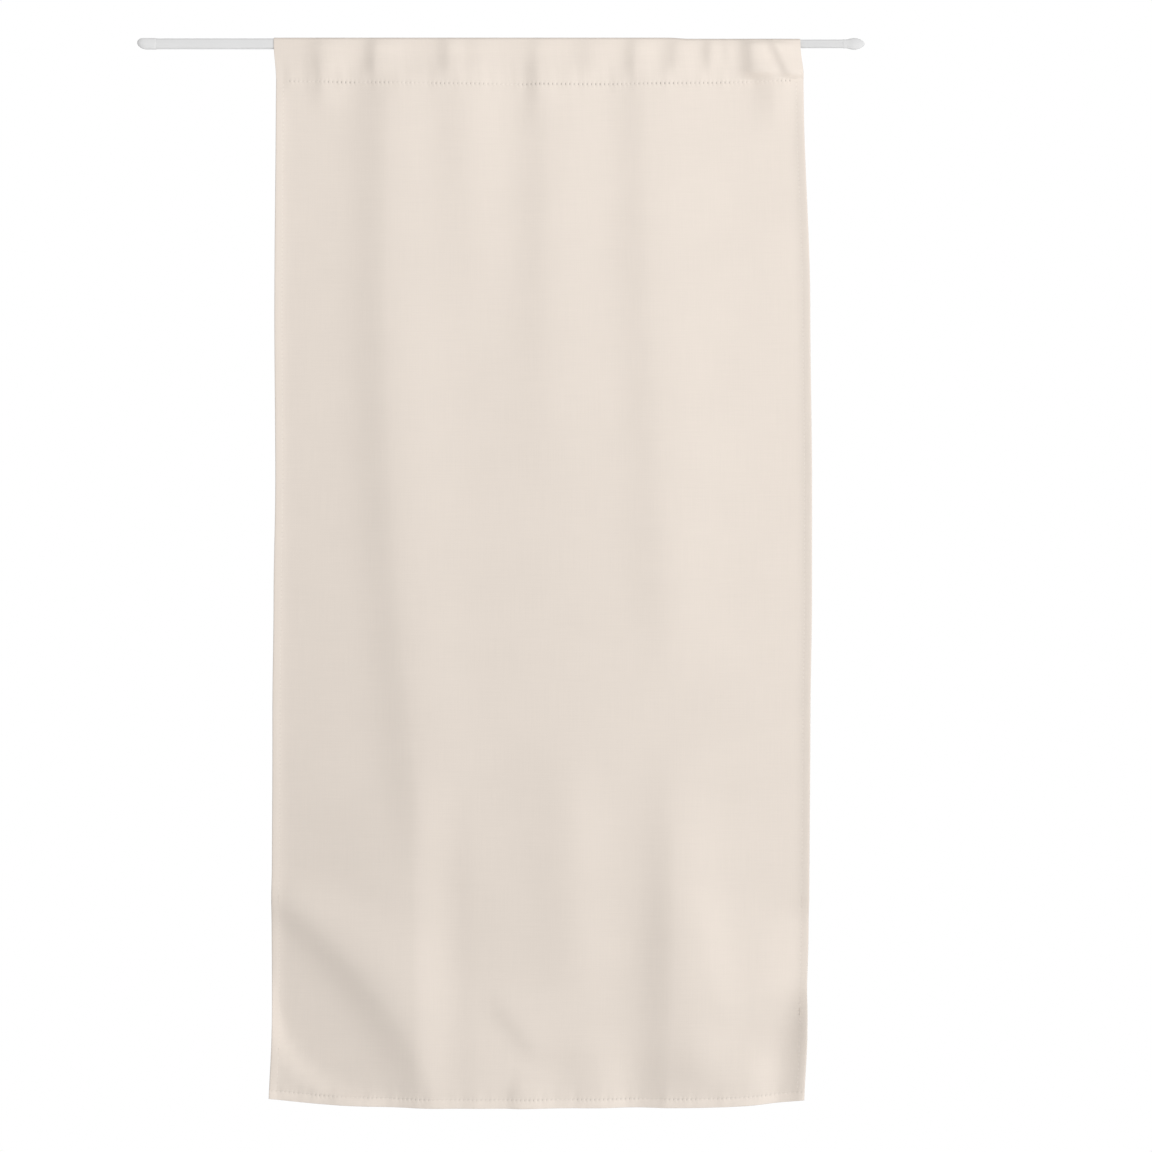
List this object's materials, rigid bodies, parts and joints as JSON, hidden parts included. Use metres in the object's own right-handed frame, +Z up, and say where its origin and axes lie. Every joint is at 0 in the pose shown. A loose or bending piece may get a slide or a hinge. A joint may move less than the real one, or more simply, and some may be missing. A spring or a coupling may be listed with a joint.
{
  "type": "blackout curtain",
  "caption": "Short pocket-top blackout curtain in cream cloth, hung on a slim flat-oval telescoping rod with a blunt cap and a pointed finial.",
  "frame": {"origin": "middle of the hook seat on the flat rear face of the outer tube, at the rod's axis height, 20 mm in from the blunt cap", "axes": "+X along the rod towards the pointed finial, +Y towards the window frame behind, -Y towards the viewer, +Z up"},
  "size_m": [0.8165, 0.0337, 1.198],
  "materials": {
    "tube": "white satin lacquer on thin steel",
    "end_plastic": "moulded white plastic",
    "cloth": "close cream weave with a soft satin face",
    "thread": "cream polyester sewing thread"
  },
  "bodies": {
    "outer_rod": {"outer_tube": "tube", "left_cap": "end_plastic", "curtain": "cloth", "pocket_stitching": "thread", "bottom_stitching": "thread", "left_stitching": "thread", "right_stitching": "thread"},
    "inner_rod": {"inner_tube": "tube", "right_finial": "end_plastic"}
  },
  "joints": [
    {"name": "rod_slide", "type": "slide", "parent": "outer_rod", "child": "inner_rod", "axis": [1, 0, 0], "range_m": [-0.045, 0.18]}
  ]
}
